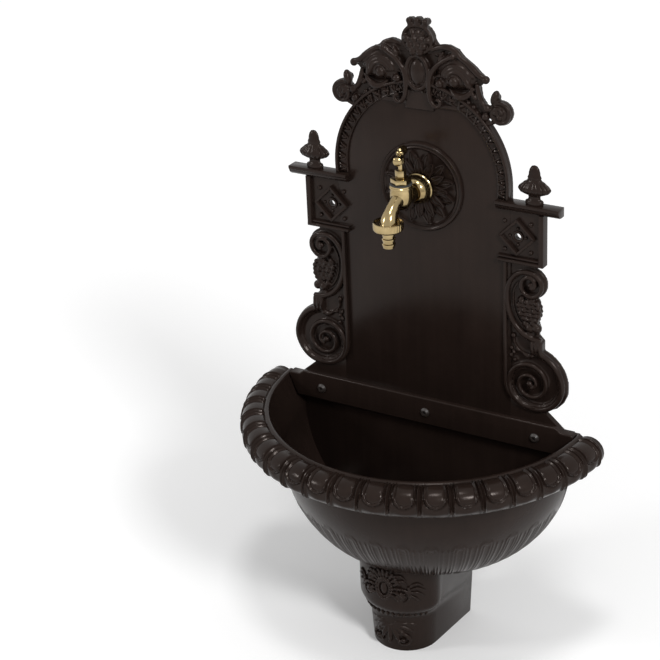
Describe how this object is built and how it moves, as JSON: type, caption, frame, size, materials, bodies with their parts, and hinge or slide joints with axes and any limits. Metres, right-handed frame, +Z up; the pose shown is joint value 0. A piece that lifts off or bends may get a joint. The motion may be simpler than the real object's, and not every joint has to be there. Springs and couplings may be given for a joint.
{
  "type": "wall fountain",
  "caption": "Cast wall fountain with arched scrollwork plate, brass tap, half-round basin with egg-and-dart rim and a short console foot.",
  "frame": {"origin": "where the wall plane, the centre line and the floor under the console's foot meet", "axes": "+Z up, -Y out of the wall towards the front, +X to the right for a person facing it"},
  "size_m": [0.439, 0.2319, 0.745],
  "materials": {
    "cast_aluminium": "satin dark bronze paint on cast aluminium",
    "brass": "polished",
    "zinc_steel": "zinc plated",
    "drain_brass": "dull",
    "rubber": "matte",
    "dark_screw": "satin dark"
  },
  "bodies": {
    "fountain": {"back_plate": "cast_aluminium", "rosette": "cast_aluminium", "left_finial": "cast_aluminium", "right_finial": "cast_aluminium", "bowl": "cast_aluminium", "console": "cast_aluminium", "tap_body": "brass", "tap_collar": "brass", "inlet_locknut": "brass", "bonnet": "brass", "gland_nut": "brass", "union_nut": "brass", "hose_tail": "brass", "strip_washers": "zinc_steel", "strip_nuts": "zinc_steel", "console_screws": "zinc_steel", "console_washers": "zinc_steel", "console_nuts": "zinc_steel", "drain_flange": "drain_brass", "drain_nut": "drain_brass", "drain_seal": "rubber", "inlet_seal": "rubber", "bonnet_gasket": "rubber", "gland_packing": "rubber", "hose_washer": "rubber", "strip_screws": "dark_screw"},
    "valve": {"valve_jumper": "brass", "valve_washer": "rubber"},
    "stem": {"spindle": "brass", "tap_handle": "brass", "handle_screw": "brass"}
  },
  "joints": [
    {"name": "valve_lift", "type": "slide", "parent": "fountain", "child": "valve", "axis": [0, 0, 1], "range_m": [0, 0.003]},
    {"name": "handle_turn", "type": "hinge", "parent": "valve", "child": "stem", "pos_m": [0, -0.065, 0.6], "axis": [0, 0, 1], "range_deg": [0, 360]}
  ],
  "couplings": [
    {"joint": "valve_lift", "follows": "handle_turn", "m_per_rad": 0.00047746}
  ]
}
